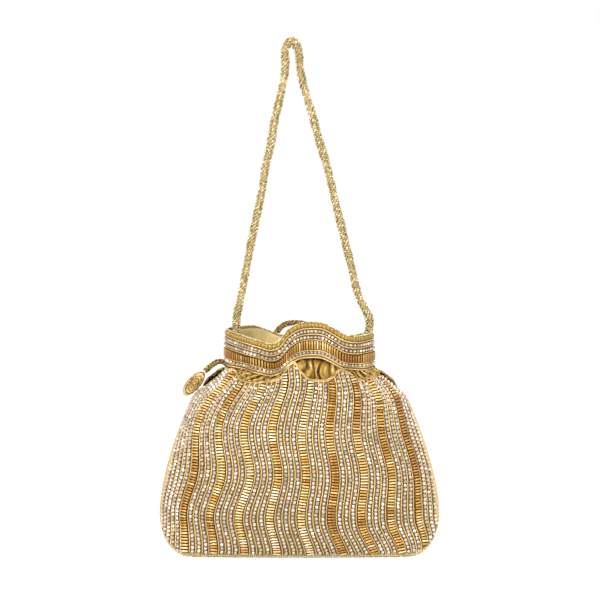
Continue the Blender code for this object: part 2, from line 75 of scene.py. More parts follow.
# The collar's wave: places across the neck from -1 to 1, with the share of the swing or the rise there
swings = {
    -1: ((-1.0, 0.0), (-0.80, 0.60), (-0.52, 1.0), (-0.30, 0.72), (-0.10, -0.25),
         (0.15, -0.80), (0.38, -0.65), (0.60, 0.15), (0.78, 0.45), (1.0, 0.0)),
    1: ((-1.0, 0.0), (-0.80, 0.50), (-0.55, 1.0), (-0.25, 0.20), (0.10, -0.50), (0.60, 0.40), (1.0, 0.0)),
}
rises = {
    -1: ((-1.0, 0.25), (-0.74, 0.12), (-0.55, -0.05), (-0.36, -0.28), (-0.26, -0.10), (-0.15, 0.52),
         (0.0, 0.92), (0.15, 1.0), (0.32, 0.92), (0.46, 0.60), (0.60, 0.22), (0.78, 0.05), (1.0, 0.0)),
    1: ((-1.0, 0.25), (-0.80, 0.18), (-0.56, 0.05), (-0.42, -0.25), (-0.26, -0.52), (0.0, -0.58),
        (0.50, -0.58), (0.80, -0.40), (1.0, 0.0)),
}
# Sideways swing of the ladders by height, on the bag's left and on its right
snakeLeft = ((0.0, 0.0052), (0.008, 0.0036), (0.032, -0.0045), (0.073, 0.0040), (0.111, -0.0045),
             (0.149, 0.0045), (0.159, 0.0031))
snakeRight = ((0.0, 0.0062), (0.008, 0.0048), (0.032, -0.0020), (0.073, 0.0018), (0.108, -0.0016),
              (0.128, 0.0018), (0.149, 0.0055), (0.159, 0.0045))
front, back = -1, 1
sideName = {front: "front", back: "back"}
collarTop = bag["collarBase"] + bag["collarHeight"] + bag["collarRise"]
rng = np.random.default_rng(7)


def ease(value):
    # smooth step from 0 to 1
    value = np.clip(value, 0.0, 1.0)
    return value * value * (3.0 - 2.0 * value)


def unit(vectors):
    return vectors / np.linalg.norm(vectors, axis=-1, keepdims=True)


def runAlong(points):
    # distance along a path at each of its points
    return np.concatenate(([0.0], np.cumsum(np.linalg.norm(np.diff(points, axis=0), axis=-1))))


def readAt(marks, run, table):
    # the table's rows read at these marks along its run
    return np.stack([np.interp(marks, run, column) for column in table.T], axis=-1)


def quarterRound(share):
    return math.sqrt(max(0.0, 1.0 - (1.0 - min(share, 1.0)) ** 2))


def halfWidth(z):
    # half the bag's width: a rounded bottom, a belly, and shoulders drawn in to the neck
    widths = ("baseWidth", "bodyWidth", "shoulderWidth", "neckWidth")
    base, belly, shoulder, neck = (bag[width] / 2 for width in widths)
    low, high = bag["bellyHeight"], bag["shoulderHeight"]
    if z <= low:
        return base + (belly - base) * quarterRound(z / low)
    if z <= high:
        return belly - (belly - shoulder) * ((z - low) / (high - low)) ** bag["sideFullness"]
    if z >= bag["neckHeight"]:
        return neck
    run = bag["neckHeight"] - high
    t = (z - high) / run
    startSlope = -bag["sideFullness"] * (belly - shoulder) / (high - low) * run
    endSlope = -(shoulder - neck) / 2
    return (shoulder * (2 * t**3 - 3 * t**2 + 1) + startSlope * (t**3 - 2 * t**2 + t)
            + neck * (3 * t**2 - 2 * t**3) + endSlope * (t**3 - t**2))


def halfDepth(z):
    # half its depth: a rounded bottom, then leaning in to the neck, and the collar flaring out again
    base, full, neck = (bag[k] / 2 for k in ("baseDepth", "bodyDepth", "neckDepth"))
    if z <= bag["fullestHeight"]:
        return base + (full - base) * quarterRound(z / bag["fullestHeight"])
    if z <= bag["neckHeight"]:
        t = (z - bag["fullestHeight"]) / (bag["neckHeight"] - bag["fullestHeight"])
        return full - (full - neck) * t**1.8
    return neck + bag["collarFlare"] * float(ease((z - bag["neckHeight"]) / (collarTop - bag["neckHeight"])))


def seamDepth(z):
    # where the side seam lies front to back: at the front edge of the base, and in the middle above
    return -bag["baseDepth"] / 2 * (1.0 - float(ease(z / bag["bellyHeight"])))


def sectionDepth(side, x, z, inset=0.0):
    # the cloth's place front to back across a rounded section, or that of a surface inside it
    share = np.minimum(np.abs(x) / (halfWidth(z) - inset), 1.0)
    seam = seamDepth(z) * (1.0 - 2.0 * inset / bag["baseDepth"])
    middle = side * (halfDepth(z) - inset)
    return seam + (middle - seam) * (1.0 - share ** bag["sectionPower"]) ** bag["sectionRound"]


def sectionRun(side, z):
    # places across the section, and the cloth's length from its middle to each
    places = halfWidth(z) * np.sin(np.linspace(-math.pi / 2, math.pi / 2, 161))
    along = runAlong(np.stack([places, sectionDepth(side, places, z)], axis=-1))
    return places, along - along[-1] / 2


fullHalf = {side: sectionRun(side, bag["fullestHeight"])[1][-1] for side in (front, back)}


def through(knots, place):
    # smooth curve through the knots (place, value)
    places, values = np.array(knots).T
    place = np.clip(np.asarray(place, float), places[0], places[-1])
    n = np.clip(np.searchsorted(places, place, side="right") - 1, 0, len(places) - 2)
    slopes = np.gradient(values, places)
    run = places[n + 1] - places[n]
    t = (place - places[n]) / run
    return (values[n] * (2 * t**3 - 3 * t**2 + 1) + slopes[n] * run * (t**3 - 2 * t**2 + t)
            + values[n + 1] * (3 * t**2 - 2 * t**3) + slopes[n + 1] * run * (t**3 - t**2))


def collarSwing(side, x, z):
    # how far the collar's wave stands out, which grows above the neck
    wave = through(swings[side], np.asarray(x) / (bag["neckWidth"] / 2))
    return bag["collarSwing"][side] * wave * ease((z - bag["neckHeight"]) / bag["swingRise"])


def clothRow(side, across, z, pleats=1.0):
    # a row of the cloth's outer face: flat places across, at one height
    places, along = sectionRun(side, z)
    half = along[-1]
    share = np.clip(across / fullHalf[side], -1.0, 1.0)
    spread = max(1.0, (fullHalf[side] / half) ** 0.5)
    length = half * share * (spread + (1.0 - spread) * share**2)
    calm = ease((across - bag["calmFrom"]) / bag["calmWidth"])
    swing = through(snakeLeft, z) * (1.0 - calm) + through(snakeRight, z) * calm
    length = np.clip(length + swing * (1.0 - share**4), -half, half)
    x = np.interp(length, along, places)
    # gathers grow from the belly up to the drawn edge, and fade out half way up the collar
    edge = 1.0 - (np.abs(x) / halfWidth(z)) ** 8
    rise = float(ease((z - bag["gatherStart"]) / (bag["panelEdge"][front] - bag["gatherStart"]))) ** 1.5
    collarMiddle = bag["collarBase"] + bag["collarHeight"] / 2
    fade = 1.0 - float(ease((z - bag["neckHeight"]) / (collarMiddle - bag["neckHeight"])))
    fold = bag["gatherDepth"] * rise * fade * np.cos(math.pi * bag["gathers"][side] * length / half + 0.6)
    out = pleats * fold + collarSwing(side, x, z)
    y = sectionDepth(side, x, z) + side * out * edge
    return np.stack([x, y, np.full_like(x, z)], axis=-1)


class ClothField:
    # the cloth's outer face looked up by flat place and height, with its outward normal
    def __init__(self, side, pleats=1.0):
        self.side = side
        self.acrossList = fullHalf[side] * np.sin(np.linspace(-math.pi / 2, math.pi / 2, 401))
        # rows of heights, closest over the rounded bottom, to past the collar's rim
        self.heights = np.concatenate((np.linspace(0.0, 0.012, 49), np.linspace(0.0125, 0.208, 392)))
        self.points = np.array([clothRow(side, self.acrossList, float(z), pleats) for z in self.heights])
        alongRow = np.gradient(self.points, axis=1)
        upColumn = np.gradient(self.points, self.heights, axis=0)
        normals = np.cross(alongRow, upColumn) * -side
        normals /= np.maximum(np.linalg.norm(normals, axis=-1, keepdims=True), 1e-12)
        normals[:, 0] = normals[:, 2]
        normals[:, -1] = normals[:, -3]
        self.normals = normals

    def lookUp(self, table, across, z):
        i = np.clip(np.searchsorted(self.heights, z) - 1, 0, len(self.heights) - 2)
        j = np.clip(np.searchsorted(self.acrossList, across) - 1, 0, len(self.acrossList) - 2)
        a = ((z - self.heights[i]) / (self.heights[i + 1] - self.heights[i]))[..., None]
        b = ((across - self.acrossList[j]) / (self.acrossList[j + 1] - self.acrossList[j]))[..., None]
        low = table[i, j] * (1 - b) + table[i, j + 1] * b
        high = table[i + 1, j] * (1 - b) + table[i + 1, j + 1] * b
        return low * (1 - a) + high * a

    def at(self, across, z, lift=0.0):
        across, z = np.broadcast_arrays(np.asarray(across, float), np.asarray(z, float))
        normal = unit(self.lookUp(self.normals, across, z))
        return self.lookUp(self.points, across, z) + normal * np.asarray(lift)[..., None], normal

    def panelTop(self, across):
        # the top edge, by where the cloth lies along the drawn neck
        x = self.at(across, bag["panelEdge"][front])[0][..., 0]
        rise = sum(r * np.exp(-(((x - at) / w) ** 2)) for at, r, w in bag["points"][self.side])
        share = x / (bag["neckWidth"] / 2)
        ends = np.minimum(np.abs(share), 1.0) ** 6
        if self.side == front:
            # beside the collar the beaded cloth is drawn right up to it, higher on the left
            rise = rise + bag["endRise"][-1] * ease((-share - 0.74) / 0.26)
            rise = rise + bag["endRise"][1] * ease((share - 0.8) / 0.2)
        return bag["panelEdge"][self.side] + rise - bag["panelEndDrop"] * ends

    def collarBottom(self, across):
        # the collar's lower edge, in its wave
        x = self.at(across, bag["collarBase"])[0][..., 0]
        return bag["collarBase"] + bag["collarRise"] * through(rises[self.side], x / (bag["neckWidth"] / 2))


def beadedRow(side, across, z):
    # a bead row runs straight down over the narrowing bottom and ends at the seam, where the cloth is cut:
    # its flat places and heights, as far as it goes
    reach = {h: sectionRun(side, h)[1][-1] for h in np.linspace(0.0, bag["bellyHeight"], 24)}
    half = np.interp(z, list(reach), list(reach.values()))
    belly = reach[bag["bellyHeight"]]
    placed = across * np.where(z < bag["bellyHeight"], (belly / half) ** (0.5 + 0.5 * (half < belly)), 1.0)
    kept = np.abs(placed) < fullHalf[side] - bag["cutEdge"]
    return placed[kept], z[kept]


cloth = {side: ClothField(side) for side in (front, back)}
print("potli bag: cloth surface ready")


def hexColour(text):
    # sRGB hex to linear
    parts = [int(text[n:n + 2], 16) / 255 for n in (1, 3, 5)]
    return tuple(c / 12.92 if c <= 0.04045 else ((c + 0.055) / 1.055) ** 2.4 for c in parts) + (1.0,)


def addNode(tree, kind, links=(), **settings):
    # a node with its settings, then links as (input name or number, node, output name or number)
    node = tree.nodes.new(kind)
    for name, value in settings.items():
        if hasattr(node, name):
            setattr(node, name, value)
        else:
            node.inputs[name.replace("_", " ")].default_value = value
    for socket, source, output in links:
        tree.links.new(source.outputs[output], node.inputs[socket])
    return node


def startMaterial(name, **shaderSettings):
    material = bpy.data.materials.new(name)
    material.use_nodes = True
    tree = material.node_tree
    shader = tree.nodes["Principled BSDF"]
    for socket, value in shaderSettings.items():
        shader.inputs[socket.replace("_", " ")].default_value = value
    return material, tree, shader


def setStops(ramp, *stops):
    # a colour ramp's stops, as (place, hex colour)
    while len(ramp.color_ramp.elements) < len(stops):
        ramp.color_ramp.elements.new(0.5)
    for element, (place, colour) in zip(ramp.color_ramp.elements, stops):
        element.position = place
        element.color = hexColour(colour)


def aimAt(thing, target):
    # turn a camera or lamp to face a point
    thing.rotation_euler = (Vector(target) - thing.location).to_track_quat("-Z", "Y").to_euler()


def addLamp(name, place, target, size, power):
    lamp = bpy.data.lights.new(name, "AREA")
    lamp.shape = "SQUARE"
    lamp.size = size
    lamp.energy = power
    holder = bpy.data.objects.new(name, lamp)
    holder.location = place
    bpy.context.scene.collection.objects.link(holder)
    aimAt(holder, target)


def seenRays(tree):
    # 1 for rays that show the surroundings: straight from the camera, mirrored, or through glass
    rays = addNode(tree, "ShaderNodeLightPath")
    either = addNode(tree, "ShaderNodeMath", [(0, rays, "Is Camera Ray"), (1, rays, "Is Glossy Ray")],
                     operation="MAXIMUM")
    return addNode(tree, "ShaderNodeMath", [(0, either, 0), (1, rays, "Is Transmission Ray")],
                   operation="MAXIMUM")


scene = bpy.context.scene
scene.view_settings.view_transform = "Standard"
camera = bpy.data.objects.new("camera", bpy.data.cameras.new("camera"))
camera.data.lens = studio["lensMm"]
camera.data.clip_end = 50.0
elevation = math.radians(studio["elevationDeg"])
backOff = studio["cameraDistance"] * Vector((0, -math.cos(elevation), math.sin(elevation)))
camera.location = Vector(studio["lookAt"]) + backOff
aimAt(camera, studio["lookAt"])
scene.collection.objects.link(camera)
scene.camera = camera
addLamp("keyLamp", (-0.75, -1.3, 1.25), (0, 0, 0.15), 0.8, studio["keyPower"])
addLamp("fillLamp", (1.1, -1.1, 0.6), (0, 0, 0.15), 1.0, studio["fillPower"])
addLamp("topLamp", (0.1, 0.5, 1.5), (0, 0, 0.2), 0.8, studio["topPower"])

# The camera, metal and glass see a plain white room; the rest is lit by the lamps and a dimmer one
world = bpy.data.worlds.new("studioRoom")
scene.world = world
world.use_nodes = True
room = world.node_tree
room.nodes.clear()
white = (1.0, 1.0, 1.0, 1.0)
seen = addNode(room, "ShaderNodeBackground", Color=white, Strength=1.0)
lit = addNode(room, "ShaderNodeBackground", Color=white, Strength=studio["worldLight"])
mixed = addNode(room, "ShaderNodeMixShader", [("Fac", seenRays(room), 0), (1, lit, 0), (2, seen, 0)])
addNode(room, "ShaderNodeOutputWorld", [("Surface", mixed, 0)])

# The table: a pale plain surface
table = bmesh.new()
bmesh.ops.create_grid(table, x_segments=1, y_segments=1, size=studio["floorSize"] / 2)
floorMesh = bpy.data.meshes.new("paperSweep")
table.to_mesh(floorMesh)
table.free()
floor = bpy.data.objects.new("paperSweep", floorMesh)
scene.collection.objects.link(floor)
# Seamless paper: lit it is plain white, and the bag's shadow only tints it
paper, paperTree, paperShader = startMaterial("seamlessPaper", Base_Color=(0.9, 0.9, 0.9, 1.0), Roughness=0.7)
paperWhite = addNode(paperTree, "ShaderNodeEmission", Color=white, Strength=studio["paperGlow"])
paperGreyed = addNode(paperTree, "ShaderNodeBsdfDiffuse", Color=(studio["paperShade"],) * 3 + (1.0,))
paperSeen = addNode(paperTree, "ShaderNodeAddShader", [(0, paperWhite, 0), (1, paperGreyed, 0)])
paperMix = addNode(paperTree, "ShaderNodeMixShader", [("Fac", seenRays(paperTree), 0),
                                                      (1, paperShader, 0), (2, paperSeen, 0)])
paperTree.links.new(paperMix.outputs[0], paperTree.nodes["Material Output"].inputs["Surface"])
floorMesh.materials.append(paper)
print("potli bag: studio ready")


def beadMaterial(name, *stops, **shaderSettings):
    # glass bead: every copy has its own tone, and a faint unevenness from the cut or the melt
    material, tree, shader = startMaterial(name, **shaderSettings)
    tone = addNode(tree, "ShaderNodeAttribute", attribute_name="tone")
    ramp = addNode(tree, "ShaderNodeValToRGB", [("Fac", tone, "Fac")])
    setStops(ramp, *stops)
    place = addNode(tree, "ShaderNodeTexCoord")
    grain = addNode(tree, "ShaderNodeTexNoise", [("Vector", place, "Object")], Scale=900.0, Detail=1.0)
    bump = addNode(tree, "ShaderNodeBump", [("Height", grain, 0)], Distance=0.00012, Strength=0.35)
    tree.links.new(ramp.outputs["Color"], shader.inputs["Base Color"])
    tree.links.new(bump.outputs["Normal"], shader.inputs["Normal"])
    return material


def bugleMaterial():
    # silver-lined amber tube: a pale gold stripe on the side facing away from the cloth, partly its silver
    # lining and partly a painted highlight, and deep amber on its sides, the glass's own colour darkened as
    # painted shade
    material = beadMaterial(
        "silverLinedBugleGlass", (0.0, "#A8741E"), (0.3, "#D3A244"), (0.65, "#F3D68C"), (1.0, "#FFF6D6"),
        Metallic=0.3, Roughness=0.3, Coat_Weight=0.5, Coat_Roughness=0.08)
    tree = material.node_tree
    shader = tree.nodes["Principled BSDF"]
    # the tone ramp's colour for the stripe, partly the silver lining and partly a painted highlight
    lining = shader.inputs["Base Color"].links[0].from_node
    rise = addNode(tree, "ShaderNodeAttribute", attribute_name="rise")
    paintedHighlight = addNode(tree, "ShaderNodeMapRange", [("Value", rise, "Fac")], From_Min=0.58, From_Max=0.88)
    paintedStripeMix = addNode(tree, "ShaderNodeMix", [("Factor", paintedHighlight, 0), (7, lining, "Color")], data_type="RGBA")
    # painted shade: deep amber on the tube's sides
    paintedStripeMix.inputs[6].default_value = hexColour("#8A5306")
    tree.links.new(paintedStripeMix.outputs[2], shader.inputs["Base Color"])
    return material


silverLinedBugle = bugleMaterial()
# Silver-lined clear glass with a pink cast: mauve grey, up to white at the top of its tone ramp, where a few
# beads take painted glints
silverLinedCrystal = beadMaterial(
    "silverLinedCrystalGlass", (0.0, "#A79682"), (0.4, "#C5B5A3"), (0.8, "#DBCDBD"), (1.0, "#F3EADF"),
    Metallic=0.4, Roughness=0.16, Coat_Weight=0.6, Coat_Roughness=0.05)
# Small champagne seed beads, lustred: pale gold, with painted sparkle at the top of its tone ramp
champagneSeed = beadMaterial(
    "champagneLustreSeedGlass", (0.0, "#93814F"), (0.4, "#BBA874"), (0.8, "#D9CA9C"), (1.0, "#F8F0D2"),
    Metallic=0.3, Roughness=0.26, Coat_Weight=0.4, Coat_Roughness=0.1)
# Antique bronze seed beads: dark, with painted warm glints at the top of its tone ramp
antiqueSeed = beadMaterial(
    "antiqueBronzeSeedGlass", (0.0, "#4E3B14"), (0.45, "#7D6125"), (0.8, "#A98A3E"), (1.0, "#D8BC70"),
    Metallic=0.6, Roughness=0.24, Coat_Weight=0.4, Coat_Roughness=0.1)


def zariMaterial():
    # gimp of gilt thread wound round a core: 0.45 mm windings drawn coarse enough to show
    material, tree, shader = startMaterial("giltGimpThread", Metallic=0.7, Roughness=0.34)
    uv = addNode(tree, "ShaderNodeUVMap", uv_map="run")
    turn = addNode(tree, "ShaderNodeMapping", [("Vector", uv, "UV")])
    turn.inputs["Rotation"].default_value[2] = 0.6
    wind = addNode(tree, "ShaderNodeTexWave", [("Vector", turn, "Vector")], Scale=330.0, Distortion=0.6)
    ramp = addNode(tree, "ShaderNodeValToRGB", [("Fac", wind, "Fac")])
    setStops(ramp, (0.0, "#C08A34"), (1.0, "#FBE8AE"))
    bump = addNode(tree, "ShaderNodeBump", [("Height", wind, "Fac")], Distance=0.0002, Strength=0.6)
    tree.links.new(ramp.outputs["Color"], shader.inputs["Base Color"])
    tree.links.new(bump.outputs["Normal"], shader.inputs["Normal"])
    return material


def clothMaterial(name, dark, light, threadMm, **shaderSettings):
    # woven cloth: warp and weft waves on the cloth's own flat metres, with a slow shift of tone
    material, tree, shader = startMaterial(name, **shaderSettings)
    uv = addNode(tree, "ShaderNodeUVMap", uv_map="run")
    scale = 1000.0 / threadMm / (2 * math.pi) * 2
    warp, weft = (addNode(tree, "ShaderNodeTexWave", [("Vector", uv, "UV")], bands_direction=way, Scale=scale,
                          Distortion=0.4) for way in ("X", "Y"))
    weave = addNode(tree, "ShaderNodeMath", [(0, warp, "Fac"), (1, weft, "Fac")], operation="ADD")
    place = addNode(tree, "ShaderNodeTexCoord")
    slub = addNode(tree, "ShaderNodeTexNoise", [("Vector", place, "Object")], Scale=90.0, Detail=4.0)
    mix = addNode(tree, "ShaderNodeMath", [(0, weave, 0), (1, slub, "Fac")], operation="MULTIPLY")
    ramp = addNode(tree, "ShaderNodeValToRGB", [("Fac", mix, 0)])
    setStops(ramp, (0.1, dark), (0.9, light))
    bump = addNode(tree, "ShaderNodeBump", [("Height", weave, 0)], Distance=0.00012, Strength=0.5)
    tree.links.new(ramp.outputs["Color"], shader.inputs["Base Color"])
    tree.links.new(bump.outputs["Normal"], shader.inputs["Normal"])
    return material


def satinMaterial():
    # polyester satin: painted highlight, pale, where its folds turn to the light, and painted shade, brown,
    # down in their valleys
    material = clothMaterial("antiqueGoldSatin", "#D8CDB8", "#FFFFFF", 0.35, Roughness=0.24, Metallic=0.5,
                             Sheen_Weight=0.2, Sheen_Roughness=0.4)
    tree = material.node_tree
    shader = tree.nodes["Principled BSDF"]
    weave = shader.inputs["Base Color"].links[0].from_node
    # the fold value, -1 in a valley to 1 on a crest, picks the painted shade and highlight from this ramp
    fold = addNode(tree, "ShaderNodeAttribute", attribute_name="fold")
    depth = addNode(tree, "ShaderNodeMapRange", [("Value", fold, "Fac")], From_Min=-1.0)
    ramp = addNode(tree, "ShaderNodeValToRGB", [("Fac", depth, 0)])
    setStops(ramp, (0.0, "#3A2507"), (0.25, "#7A591B"), (0.5, "#B8923E"), (0.75, "#D8B865"), (1.0, "#FFEDB8"))
    shaded = addNode(tree, "ShaderNodeMix", [(6, ramp, "Color"), (7, weave, "Color")], data_type="RGBA",
                     blend_type="MULTIPLY")
    shaded.inputs[0].default_value = 1.0
    tree.links.new(shaded.outputs[2], shader.inputs["Base Color"])
    return material


giltThread = zariMaterial()
# Net over satin under the beads: olive gold in the gaps between bead rows
netGround = clothMaterial("beadedNetGround", "#785C2E", "#A88A4C", 0.5, Roughness=0.55, Metallic=0.2)
casingSatin = satinMaterial()
# Tissue brocade lining: pale gold with a fine metallic weft
liningTissue = clothMaterial("tissueBrocade", "#B79A5A", "#E4D29A", 0.6, Roughness=0.5, Metallic=0.2)


def makePiece(name, mesh, material, smooth=True):
    piece = bpy.data.objects.new(name, mesh)
    bpy.context.scene.collection.objects.link(piece)
    mesh.materials.append(material)
    if smooth:
        mesh.shade_smooth()
    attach(piece, "root")
    return piece


def beadShape(kind, width, length, sides=8, rings=5):
    # one bead about its own Z axis: a stretched sphere, or a tube whose two rims are bevelled
    shape = bmesh.new()
    if kind == "round":
        bmesh.ops.create_uvsphere(shape, u_segments=sides, v_segments=rings, radius=0.5)
        bmesh.ops.scale(shape, vec=(width, width, length), verts=shape.verts)
    else:
        bmesh.ops.create_cone(shape, cap_ends=True, segments=sides, radius1=width / 2, radius2=width / 2,
                              depth=length)
        rims = [e for e in shape.edges if abs(e.verts[0].co.z - e.verts[1].co.z) < 1e-9]
        bmesh.ops.bevel(shape, geom=rims, offset=width * 0.12, offset_type="OFFSET", segments=1, profile=0.5,
                        affect="EDGES", material=-1, clamp_overlap=True)
    bmesh.ops.triangulate(shape, faces=shape.faces)
    points = np.array([v.co[:] for v in shape.verts])
    faces = np.array([[v.index for v in f.verts] for f in shape.faces])
    shape.free()
    return points, faces


def stampBeads(name, shape, centres, axes, outs, material, tones, stretch=None, smooth=True):
    # copies of one bead: its Z along the axis, its Y away from the cloth
    points, faces = shape
    axes = unit(axes)
    outs = unit(outs - axes * np.sum(outs * axes, axis=-1, keepdims=True))
    across = np.cross(outs, axes)
    local = np.broadcast_to(points, (len(centres), *points.shape)).copy()
    if stretch is not None:
        local *= stretch[:, None, :]
    spots = (centres[:, None] + local[..., :1] * across[:, None] + local[..., 1:2] * outs[:, None]
             + local[..., 2:] * axes[:, None])
    count = len(points)
    allFaces = (faces[None] + (np.arange(len(centres)) * count)[:, None, None]).reshape(-1, 3)
    mesh = bpy.data.meshes.new(name)
    mesh.from_pydata(spots.reshape(-1, 3), [], allFaces.tolist())
    tone = mesh.attributes.new("tone", "FLOAT", "POINT")
    tone.data.foreach_set("value", np.repeat(tones, count).astype(np.float32))
    # how far each point of the bead faces away from the cloth, from -1 to 1, from which the bugle material
    # paints its highlight stripe
    facing = np.tile(points[:, 1] / np.abs(points[:, 1]).max(), len(centres))
    rise = mesh.attributes.new("rise", "FLOAT", "POINT")
    rise.data.foreach_set("value", facing.astype(np.float32))
    return makePiece(name, mesh, material, smooth)


def beadTones(count, bright=0.5, spread=0.22):
    # most beads sit near one tone that differs at random, and a few take the brightest tones as painted
    # glints
    tones = np.clip(rng.normal(bright, spread, count), 0.0, 1.0)
    paintedGlint = rng.random(count) < 0.12
    tones[paintedGlint] = rng.uniform(0.85, 1.0, int(paintedGlint.sum()))
    return tones


def sheetGrid(columns, rows, grid=None):
    # flat grid, with its points' places from 0 to 1 across and up it
    if grid is None:
        grid = bmesh.new()
    made = bmesh.ops.create_grid(grid, x_segments=columns, y_segments=rows, size=0.5)["verts"]
    flat = np.array([v.co[:2] for v in made]) + 0.5
    return grid, flat[:, 0], flat[:, 1]


def shapeGrid(name, grid, spots, run, material, fold=None, capBelow=None):
    # the grid takes its shape, its flat metres as UV and, if given, a value from -1 to 1 for painted shade
    # and highlight on the satin; a grid rolled round into a tube is joined up, and its open ends under a
    # height are closed
    for vert, spot in zip(grid.verts, spots):
        vert.co = spot
    layer = grid.loops.layers.uv.new("run")
    for face in grid.faces:
        for loop in face.loops:
            loop[layer].uv = run[loop.vert.index]
    if capBelow is not None:
        bmesh.ops.remove_doubles(grid, verts=grid.verts, dist=1e-6)
        ends = [e for e in grid.edges if e.is_boundary and e.verts[0].co.z < capBelow]
        for face in bmesh.ops.holes_fill(grid, edges=ends)["faces"]:
            for loop in face.loops:
                loop[layer].uv = loop.vert.co.xy
    mesh = bpy.data.meshes.new(name)
    grid.to_mesh(mesh)
    grid.free()
    if fold is not None:
        mesh.attributes.new("fold", "FLOAT", "POINT").data.foreach_set("value", fold.astype(np.float32))
    return makePiece(name, mesh, material)


def addWall(piece, thickness):
    # the sheet's thickness, inwards from its outer face
    wall = piece.modifiers.new("wall", "SOLIDIFY")
    wall.thickness = thickness
    wall.offset = -1.0
    return piece


def finishSheet(name, grid, spots, run, material, thickness, fold=None):
    return addWall(shapeGrid(name, grid, spots, run, material, fold), thickness)


def flatAcross(side, u):
    # flat places across one side, closer together towards its two edges
    return fullHalf[side] * np.sin(math.pi * ((u if side == front else 1.0 - u) - 0.5))


panel = {
    "columns": 164, "rows": 96, "baseRows": 11, "thickness": 0.0009,
    "ladders": 9, "spacing": 2 * fullHalf[front] / 10.48, "shift": 0.0038, "ladderWidth": 0.0064,
    "bottom": 0.0022, "beadStart": 0.0049,
    "ladderTones": (0.34, 0.48, 0.68, 0.62, 0.6, 0.14, 0.36, 0.32, 0.2),
    "edgeRoom": 0.0040, "borderWidth": 0.0030, "borderPitch": 0.0015,
    "giltWidth": 0.00135, "giltLift": 0.0006, "hems": (0.0003, 0.0016), "giltPoints": 110,
    "crystalWidth": 0.0029, "crystalLength": 0.0032, "crystalPitch": 0.0033, "crystalLift": 0.0012,
}
bugle = {"length": 0.0061, "diameter": 0.0021, "pitch": 0.00242, "lift": 0.0006, "topRoom": 0.0024}
ladderMiddles = [(n - (panel["ladders"] - 1) / 2) * panel["spacing"] + panel["shift"]
                 for n in range(panel["ladders"])]


def panelHeights(side, across, share, bottom):
    # heights up the panel, which bend near its top to end on its wavy edge
    edge = bag["panelEdge"][side]
    return bottom + (edge - bottom) * share + (cloth[side].panelTop(across) - edge) * share**8


def makePanel(side):
    field = cloth[side]
    grid, u, v = sheetGrid(panel["columns"], panel["rows"])
    across = flatAcross(side, u)
    if side == front:
        z = panelHeights(side, across, v, panel["bottom"])
        spots, _ = field.at(across, z)
        run = np.stack([across, z], axis=-1)
    else:
        # the lowest rows are the flat base, from the seam at the front edge to the back
        baseShare = panel["baseRows"] / panel["rows"]
        share = np.clip((v - baseShare) / (1 - baseShare), 0.0, 1.0)
        z = np.where(v < baseShare, 0.0, panelHeights(side, across, share, 0.0))
        spots, _ = field.at(across, z)
        under = np.clip(v / baseShare, 0.0, 1.0)
        frontEdge = -bag["baseDepth"] / 2 + 0.001
        flatY = frontEdge + np.maximum(spots[:, 1] - frontEdge, 0.0003) * under
        spots[:, 1] = np.where(v < baseShare, flatY, spots[:, 1])
        run = np.stack([across, z - (1 - under) * bag["baseDepth"]], axis=-1)
    piece = finishSheet(sideName[side] + "Net", grid, spots, run, netGround, panel["thickness"])
    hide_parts(sideName[side] + "_panel")
    return piece


def ladderBeads(side):
    # bugle beads side by side up each ladder, each laid square to the ladder's run
    field = cloth[side]
    shape = beadShape("tube", bugle["diameter"], bugle["length"], sides=8)
    centres, axes, outs, tones = [], [], [], []
    for middle, bright in zip(ladderMiddles, panel["ladderTones"]):
        top = field.panelTop(np.array([middle]))[0] - bugle["topRoom"]
        flat, z = beadedRow(side, middle, np.linspace(panel["beadStart"], top, 900))
        spots, _ = field.at(flat, z)
        # no bugle reaches out over the seam at the bag's corners
        room = np.array([halfWidth(h) for h in z]) - np.abs(spots[:, 0])
        clear = (room > 0.7 * bugle["length"]) | (z > bag["bellyHeight"])
        flat, z, spots = flat[clear], z[clear], spots[clear]
        run = runAlong(spots)
        marks = np.arange(bugle["pitch"] / 2, run[-1], bugle["pitch"])
        zs = np.interp(marks, run, z)
        flat = np.interp(zs, z, flat)
        spot, out = field.at(flat, zs, bugle["lift"] + bugle["diameter"] / 2)
        left, _ = field.at(flat - 0.003, zs)
        right, _ = field.at(flat + 0.003, zs)
        along = unit(np.gradient(spot, axis=0))
        # turned a little over half way from level to square
        cross = right - left
        cross -= along * np.sum(cross * along, axis=-1, keepdims=True) * 0.55
        lean = rng.normal(0.0, 0.05, len(zs))[:, None]
        centres.append(spot + out * rng.normal(0.0, 0.00008, len(zs))[:, None])
        axes.append(unit(cross) + along * lean)
        outs.append(out)
        slow = bright + 0.2 * np.sin(marks / 0.019 + middle * 310) + 0.1 * np.sin(marks / 0.007)
        tones.append(np.clip(slow + rng.normal(0.0, 0.2, len(zs)), 0.0, 1.0))
    piece = stampBeads(sideName[side] + "Bugles", shape, np.concatenate(centres), np.concatenate(axes),
                       np.concatenate(outs), silverLinedBugle, np.concatenate(tones))
    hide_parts(*[f"{sideName[side]}_bugle_column_{n + 1}" for n in range(panel["ladders"])])
    return piece


def rowPlan(side):
    # flat places of the gilt lines and crystal rows: four lines and three rows between two ladders,
    # then rows and lines out to a border of close lines along the seam
    edge = panel["ladderWidth"] / 2 + 0.0008
    step = (panel["spacing"] - 2 * edge) / 3
    lines, crystals = [], []
    for middle in ladderMiddles[:-1]:
        lines += [middle + edge + n * step for n in range(4)]
        crystals += [middle + edge + (n + 0.5) * step for n in range(3)]
    end = fullHalf[side] - panel["edgeRoom"]
    for way, outer in ((-1, -ladderMiddles[0] + edge), (1, ladderMiddles[-1] + edge)):
        rows = max(1, round((end - panel["borderWidth"] - outer) / (step * 0.86)))
        gap = (end - panel["borderWidth"] - outer) / rows
        lines += [way * (outer + n * gap) for n in range(rows)]
        crystals += [way * (outer + (n + 0.5) * gap) for n in range(rows)]
        lines += [way * place for place in np.arange(end - panel["borderWidth"], end, panel["borderPitch"])]
    return lines, crystals


